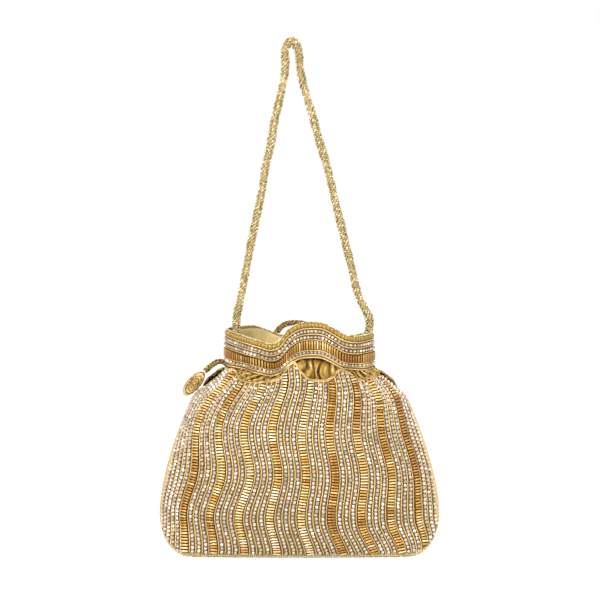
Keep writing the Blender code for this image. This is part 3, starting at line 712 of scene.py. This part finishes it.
def giltLines(name, runs, diameter, sides=5, capBelow=-1.0):
    # cords along runs of centres and outward directions, as one mesh of tubes with their length as UV
    tubes = bmesh.new()
    spots, marks = [], []
    for centres, outs in runs:
        ahead = unit(np.gradient(centres, axis=0))
        outs = unit(outs - ahead * np.sum(outs * ahead, axis=-1, keepdims=True))
        beside = np.cross(outs, ahead)
        length = runAlong(centres)
        _, u, v = sheetGrid(sides, len(centres) - 1, tubes)
        k = np.rint(v * (len(centres) - 1)).astype(int)
        angle = (2 * math.pi * u)[:, None]
        spots.append(centres[k] + (beside[k] * np.cos(angle) + outs[k] * np.sin(angle)) * diameter / 2)
        marks.append(np.stack([length[k], u * diameter * 3], axis=-1))
    return shapeGrid(name, tubes, np.concatenate(spots), np.concatenate(marks), giltThread,
                     capBelow=capBelow)


def panelRows(side):
    field = cloth[side]
    lines, crystals = rowPlan(side)
    runs = []
    for across in lines:
        share = np.linspace(0.0, 1.0, panel["giltPoints"])
        z = panelHeights(side, np.full_like(share, across), share, panel["beadStart"])
        flat, z = beadedRow(side, across, z)
        runs.append(field.at(flat, z, panel["giltLift"]))
    hem = fullHalf[side] * np.sin(np.linspace(-math.pi / 2, math.pi / 2, 420) * 0.985)
    for drop in panel["hems"]:
        runs.append(field.at(hem, field.panelTop(hem) - drop, panel["giltLift"]))
    gilt = giltLines(sideName[side] + "GiltLines", runs, panel["giltWidth"])
    shape = beadShape("round", panel["crystalWidth"], panel["crystalLength"], sides=7)
    centres, axes, outs = [], [], []
    for across in crystals:
        top = field.panelTop(np.array([across]))[0] - 0.0030
        flat, z = beadedRow(side, across, np.linspace(panel["beadStart"] + 0.0004, top, 400))
        spots, _ = field.at(flat, z)
        run = runAlong(spots)
        marks = np.arange(rng.uniform(0.0005, 0.0016), run[-1], panel["crystalPitch"])
        zs = np.interp(marks, run, z)
        flat = np.interp(zs, z, flat) + rng.normal(0.0, 0.0002, len(zs))
        spot, out = field.at(flat, zs, panel["crystalLift"])
        centres.append(spot)
        axes.append(np.gradient(spot, axis=0) + rng.normal(0.0, 0.0003, (len(zs), 3)))
        outs.append(out)
    centres = np.concatenate(centres)
    stretch = rng.uniform(0.88, 1.08, (len(centres), 3))
    crystal = stampBeads(sideName[side] + "Crystals", shape, centres, np.concatenate(axes),
                         np.concatenate(outs), silverLinedCrystal, beadTones(len(centres)),
                         stretch, smooth=False)
    return [gilt, crystal]


for side in (front, back):
    net = makePanel(side)
    [ladderBeads(side)] + panelRows(side)
print("potli bag: beaded panels")


seam = {
    "beadWidth": 0.0015, "beadPitch": 0.0016, "threadWidth": 0.0013, "sideTop": 0.146,
    # each row's height above the table, its way round from the side seam, and its lift off the cloth
    "edgeRow": (0.0010, 0.0000, 0.0004), "frontRow": (0.0038, 0.0026, 0.0006),
    "backRow": (0.0010, -0.0016, 0.0006), "thread": (0.0024, 0.0013, 0.0004),
}


def cornerDepth(x, z, way):
    # the cloth near the seam, a little way round from it to the front or the back
    return float(sectionDepth(front if way >= 0 else back, x, z))


def seamRow(low, way, lift):
    # a row along the bag's edge: down the right seam, along the bottom and up the left seam
    heights = np.linspace(seam["sideTop"], 0.0002, 420)
    side = np.array([(halfWidth(z), z) for z in heights])
    corner = bag["baseWidth"] / 2
    bottom = np.stack([np.linspace(corner, -corner, 260)[1:-1], np.full(258, 0.0002)], axis=-1)
    edge = np.concatenate((side, bottom, side[::-1] * (-1, 1)))
    ahead = unit(np.gradient(edge, axis=0))
    inward = np.stack([ahead[:, 1], -ahead[:, 0]], axis=-1)
    inward *= np.where(np.sum(inward * (edge - (0.0, 0.06)), axis=-1) > 0, -1.0, 1.0)[:, None]
    # the same way round the seam is a far smaller step in from the outline there than at the bottom
    share = (abs(way) / (bag["bodyDepth"] / 2)) ** (1 / bag["sectionRound"])
    atSide = share * bag["bodyWidth"] / 2 / bag["sectionPower"]
    inset = low * inward[:, 1] ** 4 + atSide * (1.0 - inward[:, 1] ** 4)
    flat = edge + inward * inset[:, None]
    spots, outs = [], []
    for x, z in flat:
        z = max(z, low * 0.9)
        x = float(np.clip(x, -halfWidth(z) + 2e-5, halfWidth(z) - 2e-5))
        y = cornerDepth(x, z, way)
        step = 1e-5
        slopeX = (cornerDepth(x + step, z, way) - cornerDepth(x - step, z, way)) / (2 * step)
        slopeZ = (cornerDepth(x, z + step, way) - cornerDepth(x, z - step, way)) / (2 * step)
        out = np.array((-slopeX, 1.0, -slopeZ)) * (-1.0 if way >= 0 else 1.0)
        out /= np.linalg.norm(out)
        spots.append(np.array((x, y, z)) + out * lift)
        outs.append(out)
    spots, outs = np.array(spots), np.array(outs)
    spots[:, 2] = np.maximum(spots[:, 2], seam["beadWidth"] / 2 + 0.0001)
    return spots, outs


def evenRun(points, pitch):
    # the same path with a point every pitch
    length = runAlong(points[:, :3])
    return readAt(np.arange(pitch / 2, length[-1], pitch), length, points)


def makeSeam():
    shape = beadShape("round", seam["beadWidth"], seam["beadWidth"] * 0.95, sides=6, rings=4)
    centres, axes, outs = [], [], []
    for row in ("edgeRow", "frontRow", "backRow"):
        spots, out = seamRow(*seam[row])
        if row == "backRow":
            # under the bag the back cloth is its flat base, so this row is on the two sides only
            sides = spots[:, 2] > 0.014
            parts = [(spots[sides & (spots[:, 0] > 0)], out[sides & (spots[:, 0] > 0)]),
                     (spots[sides & (spots[:, 0] < 0)], out[sides & (spots[:, 0] < 0)])]
        else:
            parts = [(spots, out)]
        for line, lineOut in parts:
            both = evenRun(np.concatenate((line, lineOut), axis=1), seam["beadPitch"])
            run = both[:, :3]
            centres.append(run)
            axes.append(np.gradient(run, axis=0))
            outs.append(both[:, 3:])
    centres = np.concatenate(centres)
    piece = stampBeads("seamSeedBeads", shape, centres, np.concatenate(axes), np.concatenate(outs),
                       champagneSeed, beadTones(len(centres)))
    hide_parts("seam_piping")
    giltLines("seamThread", [seamRow(*seam["thread"])], seam["threadWidth"])


collar = {
    "columns": 240, "rows": 20, "thickness": 0.0015, "bindingLow": 0.0256,
    "lines": (0.0006, 0.0028, 0.0062, 0.0150, 0.0200, 0.0249), "crystals": (0.00450, 0.0175, 0.0225),
    "bugleAt": 0.0106, "buglePitch": 0.00232, "bugleLength": 0.0071, "bugleWidth": 0.0019,
    "rimWidth": 0.0016, "rimPitch": 0.00165, "edge": 0.992,
    "giltWidth": 0.00135, "giltLift": 0.0006, "giltStep": 0.0016,
    "crystalWidth": 0.0027, "crystalLength": 0.0030, "crystalPitch": 0.0032, "crystalLift": 0.0012,
    "flat": {front: 0.150, back: 0.140},
}


def collarMarks(side, height, pitch):
    # flat places along one level of the collar, a pitch apart on the curved cloth
    across = fullHalf[side] * np.sin(np.linspace(-math.pi / 2, math.pi / 2, 1200) * collar["edge"])
    spots, _ = cloth[side].at(across, cloth[side].collarBottom(across) + height)
    run = runAlong(spots)
    return np.interp(np.arange(pitch / 2, run[-1], pitch), run, across)


def makeCollar(side):
    field = cloth[side]
    name = sideName[side]
    grid, u, v = sheetGrid(collar["columns"], collar["rows"])
    across = flatAcross(side, u)
    z = field.collarBottom(across) + bag["collarHeight"] * v
    spots, _ = field.at(across, z)
    band = finishSheet(name + "CollarBand", grid, spots, np.stack([across, z], axis=-1), netGround,
                       collar["thickness"])
    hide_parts(f"collar_{name}")

    grid, u, v = sheetGrid(collar["columns"], 6)
    across = flatAcross(side, u)
    low = collar["bindingLow"]
    z = field.collarBottom(across) + low + (bag["collarHeight"] - low) * v
    # sewn down through its edges, it puckers between the stitches
    gathered = np.sin(2 * math.pi * across / 0.0042 + 1.4 * np.sin(across / 0.009))
    spots, _ = field.at(across, z, 0.0003 + (0.0008 + 0.0005 * gathered) * np.sin(math.pi * v) ** 0.6)
    # the fold value paints shade in the dips between the puckers and a highlight on their tops
    binding = finishSheet(name + "RimBinding", grid, spots, np.stack([across, z], axis=-1), casingSatin,
                          0.0004, 0.05 + 0.45 * gathered)

    runs = []
    for height in collar["lines"]:
        across = collarMarks(side, height, collar["giltStep"])
        runs.append(field.at(across, field.collarBottom(across) + height, collar["giltLift"]))
    gilt = giltLines(name + "CollarGilt", runs, collar["giltWidth"])

    shape = beadShape("round", collar["crystalWidth"], collar["crystalLength"], sides=7)
    centres, axes, outs = [], [], []
    for height in collar["crystals"]:
        across = collarMarks(side, height, collar["crystalPitch"])
        spot, out = field.at(across, field.collarBottom(across) + height, collar["crystalLift"])
        centres.append(spot)
        axes.append(np.gradient(spot, axis=0))
        outs.append(out)
    centres = np.concatenate(centres)
    # the collar's crystals take darker tones than the panels': painted shade, the collar being in shade
    crystal = stampBeads(name + "CollarCrystals", shape, centres, np.concatenate(axes), np.concatenate(outs),
                         silverLinedCrystal, beadTones(len(centres), 0.2),
                         rng.uniform(0.88, 1.08, (len(centres), 3)), smooth=False)

    shape = beadShape("tube", collar["bugleWidth"], collar["bugleLength"], sides=8)
    across = collarMarks(side, collar["bugleAt"], collar["buglePitch"])
    z = field.collarBottom(across) + collar["bugleAt"]
    spot, out = field.at(across, z, collar["giltLift"] + collar["bugleWidth"] / 2)
    above, _ = field.at(across, z + 0.003)
    below, _ = field.at(across, z - 0.003)
    # the collar's bugles take darker tones than the ladders': painted shade over the collar, rising and
    # falling slowly across it
    tones = np.clip(0.17 + 0.2 * np.sin(across / 0.012) + rng.normal(0.0, 0.2, len(across)), 0.0, 1.0)
    bugles = stampBeads(name + "CollarBugles", shape, spot, above - below, out, silverLinedBugle,
                        tones)
    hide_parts(f"collar_bugles_{name}")

    shape = beadShape("round", collar["rimWidth"], collar["rimWidth"], sides=7)
    across = collarMarks(side, bag["collarHeight"], collar["rimPitch"])
    spot, out = field.at(across, field.collarBottom(across) + bag["collarHeight"])
    spot = spot + (0.0, 0.0, 0.0006) - out * collar["thickness"] / 2
    rim = stampBeads(name + "RimBeads", shape, spot, np.gradient(spot, axis=0), out, champagneSeed,
                     beadTones(len(spot)))
    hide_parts(f"collar_rim_{name}")


casing = {
    "columns": 300, "rows": 22, "tuck": 0.006, "hide": 0.004, "thickness": 0.0005,
    "pleat": 0.0024, "pleatWidth": 0.0115, "puff": 0.0034, "fanFrom": 0.030, "sunk": 0.0022,
    "flat": (0.180, 0.030),
}


def makeCasing(side):
    # satin tunnel: gathered fine between the panel's top edge and the collar, puffing out between them
    field = cloth[side]
    name = sideName[side]
    grid, u, v = sheetGrid(casing["columns"], casing["rows"])
    across = flatAcross(side, u)
    bottom = field.panelTop(across) - casing["tuck"]
    top = field.collarBottom(across) + casing["hide"]
    z = bottom + (top - bottom) * v
    width = casing["pleatWidth"]
    # folds fan out from the collar's crest, round on top and sharp in their valleys
    fan = (across - casing["fanFrom"]) * (1.0 + 0.5 * v) * 2 * math.pi / width
    wave = np.sin(fan + v) + 0.6 * np.sin(fan * 1.63 + 1.1 - 2 * v)
    high = np.clip((wave + 1.6) / 3.2, 0.0, 1.0)
    fine = 1.0 - 2.0 * (1.0 - high) ** 1.7
    # how wide it shows between the two, 1 where that is 20 mm
    shown = np.clip((top - bottom - casing["tuck"] - casing["hide"]) / 0.02, 0.0, 1.0)
    bulge = np.sin(math.pi * np.clip((v - 0.12) / 0.76, 0.0, 1.0))
    puff = (casing["puff"] + 0.003 * shown) * ease(shown * 3)
    lift = (puff + casing["pleat"] * fine) * bulge - casing["sunk"]
    spots, _ = field.at(across, z, np.minimum(lift, 0.005))
    # painted shade and highlight for the satin: light on fold crests, dark in fold valleys and along fine
    # painted creases, and dark where it tucks under the panel and the collar
    paintedCreases = 0.35 * np.sin(across / 0.0011 + 5 * v)
    shade = np.clip(1.6 * high - 0.85 + paintedCreases, -1.0, 1.0) * ease(bulge * 1.5)
    shade = shade - 0.9 * (1.0 - ease(bulge * 1.3))
    piece = finishSheet(name + "Casing", grid, spots, np.stack([across, z], axis=-1), casingSatin,
                        casing["thickness"], shade)
    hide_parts(f"casing_{name}")


makeSeam()
for side in (front, back):
    makeCollar(side)
    makeCasing(side)
print("potli bag: collar, casing and seam")


def smoothRun(knots, step):
    # Catmull-Rom curve through the knots, evenly spaced
    knots = np.array(knots, float)
    padded = np.concatenate((2 * knots[:1] - knots[1:2], knots, 2 * knots[-1:] - knots[-2:-1]))
    t = np.linspace(0.0, 1.0, 40, endpoint=False)[:, None]
    parts = []
    for a, b, c, d in zip(padded, padded[1:], padded[2:], padded[3:]):
        parts.append(0.5 * (2 * b + (c - a) * t + (2 * a - 5 * b + 4 * c - d) * t**2
                            + (3 * b - 3 * c + d - a) * t**3))
    line = np.concatenate(parts + [knots[-1:]])
    length = runAlong(line)
    return readAt(np.linspace(0.0, length[-1], int(length[-1] / step) + 1), length, line)


def carryFrames(path):
    # directions that follow the path without spinning
    ahead = unit(np.gradient(path, axis=0))
    side = np.cross(ahead[0], (0.0, 1.0, 0.001))
    sides = []
    for direction in ahead:
        side = unit(side - direction * np.dot(side, direction))
        sides.append(side)
    return np.array(sides), np.cross(ahead, sides)


def coreTube(name, path, width):
    # thread core under the beads, closed at both ends
    _, over = carryFrames(path)
    return giltLines(name, [(path, over)], width, sides=10, capBelow=math.inf)


def twistedBeads(name, path, rope, material):
    # strands of seed beads laid round each other along the path
    beside, over = carryFrames(path)
    length = runAlong(path)
    radius = (rope["width"] - rope["bead"]) / 2
    lump = 1.0 + rope["lump"] * (np.sin(length / 0.013) * 0.5 + np.sin(length / 0.0047 + 1.0) * 0.5)
    turn = 2 * math.pi * length / rope["lay"] + rope["wander"] * np.sin(length / 0.021)
    centres, axes, outs = [], [], []
    for strand in range(rope["strands"]):
        angle = turn + 2 * math.pi * strand / rope["strands"]
        wobble = lump * (1.0 + rope["lump"] * 0.6 * np.sin(length / 0.009 + strand * 2.4))
        out = beside * np.cos(angle)[:, None] + over * np.sin(angle)[:, None]
        run = path + out * (radius * wobble)[:, None]
        along = runAlong(run)
        marks = np.arange(rope["pitch"] * (0.2 + 0.6 * rng.random()), along[-1], rope["pitch"])
        spot = readAt(marks, along, run)
        centres.append(spot)
        axes.append(np.gradient(spot, axis=0) + rng.normal(0.0, rope["pitch"] * 0.12, spot.shape))
        outs.append(readAt(marks, along, out))
    centres = np.concatenate(centres)
    shape = beadShape("round", rope["bead"], rope["bead"] * 0.82, sides=6, rings=4)
    return stampBeads(name, shape, centres, np.concatenate(axes), np.concatenate(outs), material,
                      beadTones(len(centres), 0.43, 0.22), rng.uniform(0.9, 1.1, (len(centres), 3)))


handle = {
    "width": 0.0074, "bead": 0.0020, "pitch": 0.00166, "strands": 6, "lay": 0.021,
    "lump": 0.12, "wander": 0.5, "core": 0.0042, "spread": 0.0512, "foot": 0.1725, "crest": 0.4288,
    # shares of the spread and of the rise from foot to crest
    "knots": (
        (-1.045, 0), (-1.035, 0.0456), (-1.025, 0.0793), (-1.02, 0.1090), (-0.975, 0.1486),
        (-0.925, 0.1962), (-0.87, 0.2556), (-0.79, 0.3389), (-0.7, 0.4261), (-0.6, 0.5212),
        (-0.55, 0.5886), (-0.47, 0.6599), (-0.4, 0.7392),
        (-0.32, 0.8105), (-0.25, 0.8740), (-0.224, 0.9255), (-0.23, 0.9691), (-0.124, 1), (-0.012, 0.9651),
        (0.016, 0.9017), (0.12, 0.8185), (0.22, 0.7511), (0.33, 0.6718), (0.46, 0.5846), (0.57, 0.4895),
        (0.7, 0.3825), (0.83, 0.2794), (0.95, 0.1803), (1.07, 0.1288), (1.14, 0.0971), (1.135, 0.0640),
        (1.10, 0.0330), (1.08, -0.012),
    ),
}
handleRise = handle["crest"] - handle["foot"]
handlePath = smoothRun([(handle["spread"] * x, 0, handle["foot"] + handleRise * share)
                        for x, share in handle["knots"]], 0.0008)
handleBeads = twistedBeads("handleBeads", handlePath, handle, champagneSeed)
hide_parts("handle_rope")
handleCore = coreTube("handleCore", handlePath, handle["core"])

drawstring = {
    "width": 0.0054, "bead": 0.0018, "pitch": 0.00142, "strands": 5, "lay": 0.013,
    "lump": 0.10, "wander": 0.3, "core": 0.0028, "inset": 0.0108, "left": 0.155, "right": 0.149,
    # a tail's knots from the neck's edge: shares of its reach outwards, back and up
    "reach": 0.018, "leftTail": ((-0.28, 0, 0), (0.1, 0, 0.31), (0.45, -0.055, 0.34), (1, -0.22, -0.055)),
    "rightTail": ((0, 0, 0), (0.17, 0.30, 0.05), (0.06, 0.75, 0.20)),
    # then down the back: shares of the neck's half width and of the rise
    "rise": 0.0395, "backTail": ((0.92, 0.354), (0.62, 0.633), (0.295, 0.861), (0.0, 1.0), (-0.23, 0.937),
                                 (-0.36, 0.658), (-0.426, 0.304), (-0.459, -0.05)),
}
tab = {"length": 0.027, "width": 0.0125, "thickness": 0.0040, "bead": 0.00145, "turns": 4}


def stringLoop(height, start, stop):
    # the drawstring's hidden run round the neck
    points = []
    for angle in np.radians(np.linspace(start, stop, 40)):
        x = (halfWidth(height) - drawstring["inset"]) * math.cos(angle)
        side = front if math.sin(angle) < 0 else back
        points.append((x, float(sectionDepth(side, x, height, drawstring["inset"])), height))
    return points


def onBack(x, z):
    # where a string lies on the back of the bag
    y = float(sectionDepth(back, x, z)) + float(collarSwing(back, x, z)) + 0.0060
    return (x, y + bag["gatherDepth"] * (1.0 - float(ease((z - bag["neckHeight"]) / 0.010))), z)


def makeTab(name, node, start, along, facing):
    # flat oval tab: a beaded cord coiled on itself, the same on both faces
    along = unit(np.array(along))
    across = unit(np.cross(along, facing))
    facing = np.cross(across, along)
    middle = np.array(start) + along * (0.0003 + tab["length"] / 2)
    centres, axes, outs = [], [], []
    bead = tab["bead"]
    for face in (1, -1):
        t = np.linspace(0.0, 1.0, 3000)
        angle = 2 * math.pi * tab["turns"] * t * face
        grow = 0.10 + 0.90 * t
        u = (tab["width"] - bead) / 2 * grow * np.cos(angle)
        v = (tab["length"] - bead) / 2 * (0.45 + 0.55 * t) * grow**0.75 * np.sin(angle)
        depth = (tab["thickness"] - bead) / 2 * (1.0 - 0.55 * grow**3)
        run = middle + u[:, None] * across + v[:, None] * along + depth[:, None] * facing * face
        run = evenRun(run, bead * 0.86)
        centres.append(run)
        axes.append(np.gradient(run, axis=0))
        outs.append(np.broadcast_to(facing * face, run.shape))
    centres = np.concatenate(centres)
    shape = beadShape("round", bead, bead * 0.85, sides=7)
    piece = stampBeads(name, shape, centres, np.concatenate(axes), np.concatenate(outs), antiqueSeed,
                       beadTones(len(centres), 0.55, 0.22))
    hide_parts(node)
    ring = bmesh.new()
    bmesh.ops.create_uvsphere(ring, u_segments=24, v_segments=10, radius=0.5)
    size = Matrix.Diagonal((tab["width"] - bead, tab["length"] - bead, tab["thickness"] - bead, 1.0))
    turn = Matrix((across, along, facing)).transposed().to_4x4()
    bmesh.ops.transform(ring, matrix=Matrix.Translation(Vector(middle)) @ turn @ size, verts=ring.verts)
    layer = ring.loops.layers.uv.new("run")
    for face in ring.faces:
        for loop in face.loops:
            loop[layer].uv = (loop.vert.co.x, loop.vert.co.z)
    mesh = bpy.data.meshes.new(name + "Pad")
    ring.to_mesh(mesh)
    ring.free()
    pad = makePiece(name + "Pad", mesh, giltThread)
    return piece, pad


def makeString(side, way, start, stop, extra, along, facing):
    # one drawstring: round the neck, out at its own side and down to its tab
    z = drawstring[side]
    reach = drawstring["reach"]
    tail = [(way * (bag["neckWidth"] / 2 + reach * a), reach * b, z + reach * c)
            for a, b, c in drawstring[side + "Tail"]] + extra
    path = smoothRun(stringLoop(z, start, stop) + tail, 0.0008)
    beads = twistedBeads(side + "Drawstring", path, drawstring, antiqueSeed)
    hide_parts("drawstring_" + side)
    core = coreTube(side + "DrawstringCore", path, drawstring["core"])
    ending = makeTab(side + "Tab", "tab_" + side, tail[-1], along, facing)


backRun = [onBack(bag["neckWidth"] / 2 * x, drawstring["right"] + drawstring["rise"] * rise)
           for x, rise in drawstring["backTail"]]
makeString("left", -1, -155, 166, [], (-0.65, -0.036, -0.76), (0.25, -1.0, 0.1))
makeString("right", 1, -25, -346, backRun, (-0.07, 0.30, -0.95), (0.0, 1.0, 0.3))
print("potli bag: handle and drawstrings")

lining = {
    "columns": 96, "rows": 48, "corner": 0.024, "bottom": 0.0018, "topDrop": 0.0008, "thickness": 0.0004,
    # its inset from the panels: at the bottom, higher up, and where the strings draw the neck
    "inset": 0.0050, "upperInset": 0.0090, "neckInset": 0.0150, "flat": (0.50, 0.215),
}


def liningRow(side, share, level):
    # one row of points round one side, eased in at the drawn neck, with its flat places
    across = fullHalf[side] * np.sin(math.pi * (share - 0.5)) * -side
    top = cloth[side].collarBottom(across) + bag["collarHeight"] - lining["topDrop"]
    z = lining["bottom"] + (top - lining["bottom"]) * level
    upper = ease((z - 0.093) / 0.0565) * (1.0 - ease((z - 0.156) / 0.0165))
    drawn = ease((z - 0.1457) / 0.010 + 1.0) * (1.0 - ease((z - 0.1583) / 0.010))
    inset = lining["inset"] + (lining["upperInset"] - lining["inset"]) * upper
    inset = inset + (lining["neckInset"] - inset) * drawn
    inset += lining["corner"] / 2 * (1.0 - ease(z / lining["corner"]))
    crease = 0.0009 * np.sin(across * 260 + side) * np.sin(z * 90 + across * 30)
    spots, _ = plainCloth[side].at(across, z)
    for spot, height, inward, fold in zip(spots, z, inset, crease):
        x = spot[0] * (1.0 - inward / halfWidth(height))
        deeper = float(sectionDepth(side, x, height, inward) - sectionDepth(side, spot[0], height))
        spot[:] = (x, spot[1] + deeper + fold * side, height)
    return spots, np.stack([across, z], axis=-1)


def makeLining():
    # one bag of tissue inside the panels, up to the rim: front and back rows joined into rings
    share = np.arange(lining["columns"]) / lining["columns"]
    spots, runs = [], []
    for level in np.linspace(0.0, 1.0, lining["rows"]) ** 0.8:
        (frontSpots, frontRun), (backSpots, backRun) = (liningRow(side, share, level)
                                                        for side in (front, back))
        spots += [frontSpots, backSpots, frontSpots[:1]]
        runs += [frontRun, backRun, frontRun[:1]]
    grid, _, _ = sheetGrid(2 * lining["columns"], lining["rows"] - 1)
    piece = shapeGrid("tissueLining", grid, np.concatenate(spots), np.concatenate(runs), liningTissue,
                      capBelow=0.01)
    addWall(piece, lining["thickness"])
    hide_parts("lining")


plainCloth = {side: ClothField(side, pleats=0.0) for side in (front, back)}
makeLining()
print("potli bag: lining")
